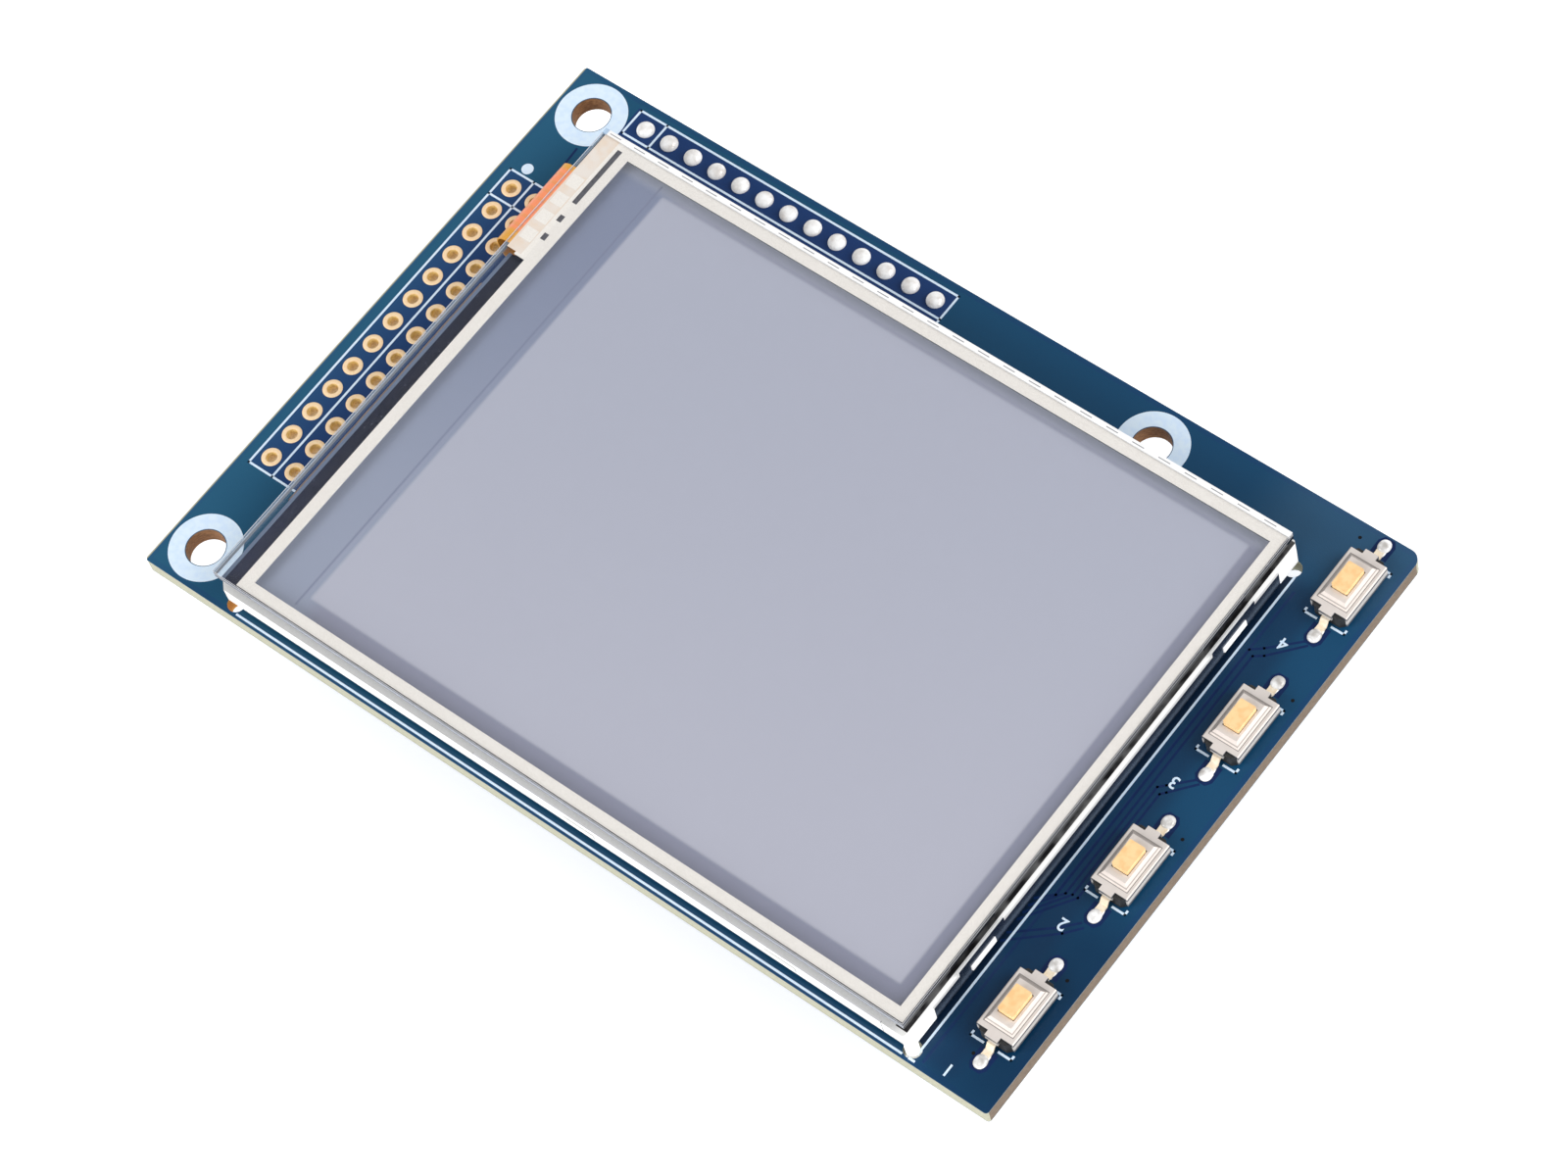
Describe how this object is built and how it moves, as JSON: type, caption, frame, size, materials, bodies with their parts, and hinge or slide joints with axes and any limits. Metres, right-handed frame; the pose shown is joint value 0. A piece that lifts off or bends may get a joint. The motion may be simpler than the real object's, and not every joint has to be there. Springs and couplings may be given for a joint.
{
  "type": "touch display module",
  "caption": "Small colour touch display on a blue printed circuit board with a row of tactile keys and a pin socket on the back.",
  "frame": {"origin": "under the middle of the circuit board, in the plane of the pin socket's mouth", "axes": "+X along the board's long side towards the keys, +Y towards the edge with the pin socket, +Z out of the display"},
  "size_m": [0.085, 0.056, 0.0141],
  "materials": {
    "board": "blue solder mask over glass-fibre laminate",
    "gold": "gold-plated copper",
    "black_plastic": "black moulding compound",
    "tin": "tin-plated copper alloy",
    "solder": "bright solder",
    "foam": "double-sided foam tape",
    "mirror_steel": "bright rolled steel sheet",
    "white_plastic": "white moulded plastic",
    "white_film": "white film",
    "clear_plastic": "clear acrylic",
    "clear_film": "clear prism film",
    "lamp": "white package with a yellow phosphor",
    "amber_flex": "amber polyimide",
    "polariser": "grey polarising film",
    "display_glass": "coated glass",
    "dark_tape": "dark adhesive tape",
    "touch_glass": "clear glass",
    "touch_film": "clear hard-coated film",
    "cream_ink": "cream printed layer",
    "orange_flex": "orange polyimide",
    "spring_steel": "spring steel",
    "cover_steel": "plated steel sheet",
    "plunger_plastic": "tan moulded plastic",
    "ceramic_tan": "tan ceramic, tinned ends",
    "ceramic_black": "black-coated ceramic, tinned ends"
  },
  "bodies": {
    "module": {"back_bezel": "mirror_steel", "backlight_frame": "white_plastic", "backlight_lamps": "lamp", "breakout_rims": "gold", "chip_capacitors": "ceramic_tan", "chip_resistors": "ceramic_black", "circuit_board": "board", "diffuser_film": "white_film", "display_flex": "amber_flex", "display_lower_glass": "display_glass", "display_upper_glass": "display_glass", "driver_chip": "black_plastic", "front_polariser": "polariser", "key_1_base": "black_plastic", "key_1_cover": "cover_steel", "key_1_disc": "spring_steel", "key_1_leads": "tin", "key_2_base": "black_plastic", "key_2_cover": "cover_steel", "key_2_disc": "spring_steel", "key_2_leads": "tin", "key_3_base": "black_plastic", "key_3_cover": "cover_steel", "key_3_disc": "spring_steel", "key_3_leads": "tin", "key_4_base": "black_plastic", "key_4_cover": "cover_steel", "key_4_disc": "spring_steel", "key_4_leads": "tin", "key_solder": "solder", "lamp_flex": "amber_flex", "ledge_tape": "dark_tape", "light_guide": "clear_plastic", "logic_chips": "black_plastic", "logic_chips_legs": "tin", "lower_prism_film": "clear_film", "mounting_tape": "foam", "rear_polariser": "polariser", "reflector_sheet": "white_film", "regulator": "black_plastic", "regulator_legs": "tin", "socket_contacts": "tin", "socket_housing": "black_plastic", "solder_joints": "solder", "touch_adhesive": "dark_tape", "touch_border": "cream_ink", "touch_controller": "black_plastic", "touch_controller_legs": "tin", "touch_film": "touch_film", "touch_flex": "orange_flex", "touch_glass": "touch_glass", "transistor": "black_plastic", "transistor_legs": "tin", "upper_prism_film": "clear_film"},
    "key_1_button": {"key_1_plunger": "plunger_plastic"},
    "key_2_button": {"key_2_plunger": "plunger_plastic"},
    "key_3_button": {"key_3_plunger": "plunger_plastic"},
    "key_4_button": {"key_4_plunger": "plunger_plastic"}
  },
  "joints": [
    {"name": "key_1_press", "type": "slide", "parent": "module", "child": "key_1_button", "axis": [0, 0, -1], "range_m": [0, 0.00025], "stiffness_N_per_m": 6400, "springref_m": -0.00002, "deforming": ["key_1_disc"]},
    {"name": "key_2_press", "type": "slide", "parent": "module", "child": "key_2_button", "axis": [0, 0, -1], "range_m": [0, 0.00025], "stiffness_N_per_m": 6400, "springref_m": -0.00002, "deforming": ["key_2_disc"]},
    {"name": "key_3_press", "type": "slide", "parent": "module", "child": "key_3_button", "axis": [0, 0, -1], "range_m": [0, 0.00025], "stiffness_N_per_m": 6400, "springref_m": -0.00002, "deforming": ["key_3_disc"]},
    {"name": "key_4_press", "type": "slide", "parent": "module", "child": "key_4_button", "axis": [0, 0, -1], "range_m": [0, 0.00025], "stiffness_N_per_m": 6400, "springref_m": -0.00002, "deforming": ["key_4_disc"]}
  ]
}
